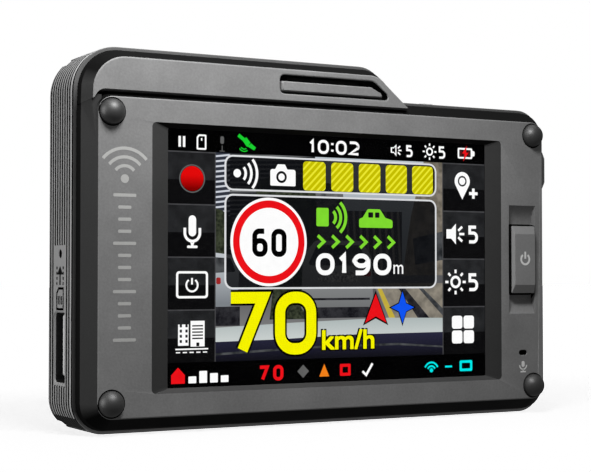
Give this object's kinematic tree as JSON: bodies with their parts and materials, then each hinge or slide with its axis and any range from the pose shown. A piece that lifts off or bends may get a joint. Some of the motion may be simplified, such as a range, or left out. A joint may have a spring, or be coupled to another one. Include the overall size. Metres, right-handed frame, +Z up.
{
  "type": "radar detector",
  "caption": "Windscreen radar detector with a road camera, a touch display, ribbed sides, ball-head corner screws, a memory card slot and two push keys.",
  "frame": {"origin": "centre of the flat underside of the ribbed housing, on which the unit stands", "axes": "+X to the right as the driver sees the display, +Y away from the driver towards the windscreen, +Z up"},
  "size_m": [0.1033, 0.0351, 0.0667],
  "materials": {
    "face_plastic": "satin grey plastic with a very fine moulded grain",
    "housing_plastic": "satin grey plastic, ribbed at the sides",
    "black_plastic": "fine-grained black plastic",
    "white_plastic": "natural white plastic",
    "black_screw": "satin black coated steel",
    "black_metal": "black anodised metal, satin",
    "screen_glass": "clear cover glass",
    "lcd": "display panel, lit when in use",
    "pressed_steel": "plated pressed steel",
    "ribbon_film": "amber film with copper tracks",
    "circuit_board": "green solder mask over tracks",
    "black_rubber": "soft black rubber",
    "brass_insert": "bright brass, or gold plating on the contacts",
    "chip_black": "black moulded epoxy",
    "soft_pad": "soft blue-grey silicone pad",
    "cast_alloy": "cast or extruded alloy, satin",
    "antenna_ceramic": "tan fired ceramic with a silver patch",
    "battery_foil": "laminated foil pouch",
    "dark_window": "polished infrared-pass plastic, nearly black red",
    "lens_glass": "coated glass with a blue and violet sheen",
    "plated_magnet": "nickel-plated magnet"
  },
  "bodies": {
    "housing": {"front_cover": "face_plastic", "speaker_bar": "face_plastic", "corner_screws": "black_screw", "touch_panel": "screen_glass", "lcd_panel": "lcd", "backlight_unit": "white_plastic", "display_bracket": "pressed_steel", "display_flex": "ribbon_film", "power_switch": "pressed_steel", "key_board": "circuit_board", "key_board_screws": "pressed_steel", "microphone": "pressed_steel", "microphone_boot": "black_rubber", "rear_housing": "housing_plastic", "threaded_inserts": "brass_insert", "main_board": "circuit_board", "board_screws": "pressed_steel", "main_processor": "chip_black", "thermal_pad": "soft_pad", "heat_sink": "cast_alloy", "memory_chips": "chip_black", "shield_can": "pressed_steel", "board_parts": "chip_black", "card_socket": "pressed_steel", "reset_switch": "chip_black", "side_switch": "pressed_steel", "speaker": "black_plastic", "gps_antenna": "antenna_ceramic", "battery": "battery_foil", "rear_cover": "black_plastic", "cover_screws": "black_screw", "radar_horn": "cast_alloy", "radar_board": "circuit_board", "laser_window": "dark_window", "laser_sensor": "chip_black", "sensor_board": "circuit_board", "image_sensor": "chip_black", "lens_holder": "black_plastic", "lens_barrel": "black_metal", "lens_glass": "lens_glass", "lens_ring": "black_metal", "power_inlet": "pressed_steel", "contact_plate": "black_plastic", "contact_pads": "brass_insert", "holding_magnets": "plated_magnet"},
    "power_button": {"power_key": "face_plastic", "power_plunger": "white_plastic"},
    "side_key": {"side_button": "housing_plastic", "side_plunger": "white_plastic"},
    "card": {"memory_card": "chip_black"}
  },
  "joints": [
    {"name": "power_press", "type": "slide", "parent": "housing", "child": "power_button", "axis": [0, 1, 0], "range_m": [0, 0.0004], "stiffness_N_per_m": 600},
    {"name": "side_press", "type": "slide", "parent": "housing", "child": "side_key", "axis": [-1, 0, 0], "range_m": [0, 0.0004], "stiffness_N_per_m": 600},
    {"name": "card_slide", "type": "slide", "parent": "housing", "child": "card", "axis": [-1, 0, 0], "range_m": [0, 0.014]}
  ]
}
